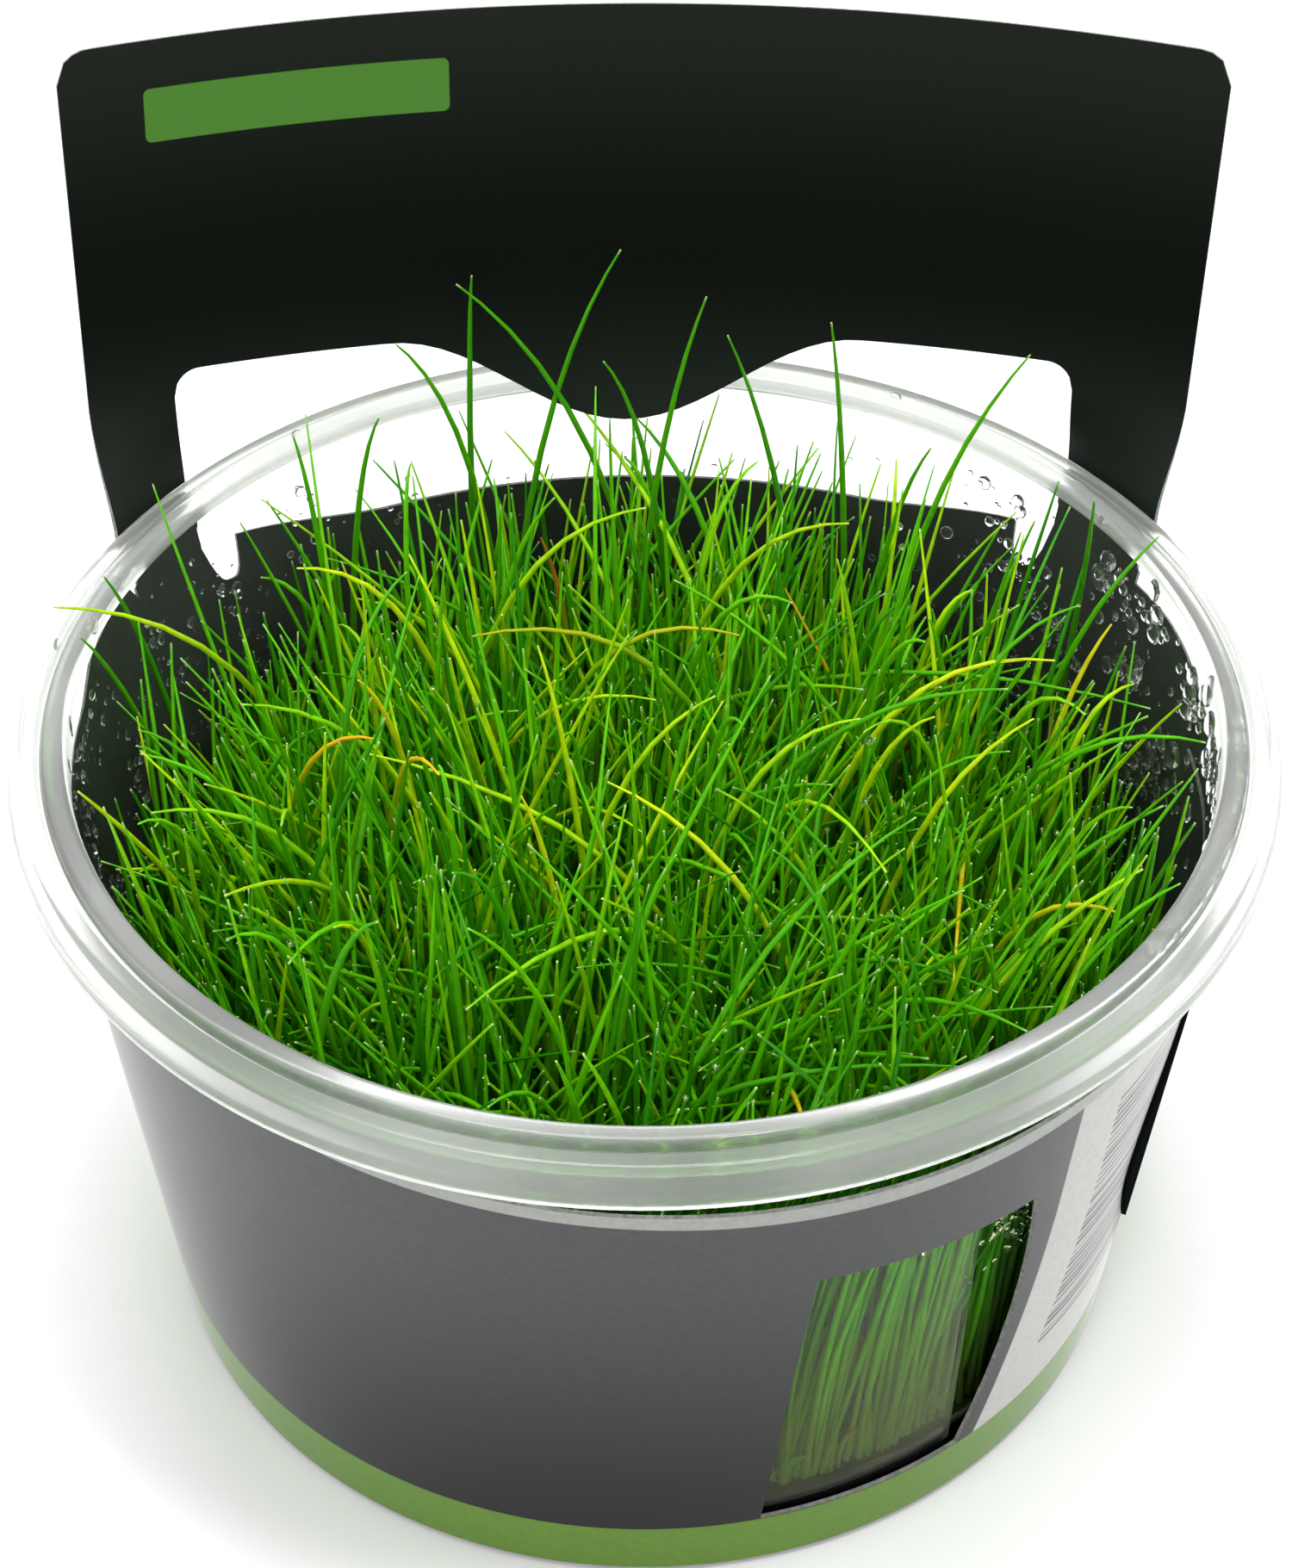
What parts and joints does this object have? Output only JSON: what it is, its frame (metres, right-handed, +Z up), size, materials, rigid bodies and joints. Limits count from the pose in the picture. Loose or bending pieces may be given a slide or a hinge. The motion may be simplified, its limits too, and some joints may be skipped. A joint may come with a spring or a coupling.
{
  "type": "potted dwarf hairgrass",
  "caption": "Dwarf hairgrass growing in a round clear plastic cup with a stepped rim, wrapped in a dark card sleeve whose back rises as a curved tag panel.",
  "frame": {"origin": "on the cup's axis at the level of its flat base", "axes": "+Z up along the cup's axis, -Y towards the printed front, +X to the right seen from the front"},
  "size_m": [0.087, 0.087, 0.0816],
  "materials": {
    "clear_plastic": "clear moulded plastic, glossy, slightly milky",
    "growing_gel": "wet translucent gel",
    "printed_card": "satin printed card",
    "grass": "fresh green leaf, slightly glossy"
  },
  "bodies": {
    "root": {"cup": "clear_plastic", "gel": "growing_gel", "card_sleeve": "printed_card", "tuft_middle": "grass", "tuft_1": "grass", "tuft_2": "grass", "tuft_3": "grass", "tuft_4": "grass", "tuft_5": "grass", "tuft_6": "grass"}
  },
  "joints": []
}
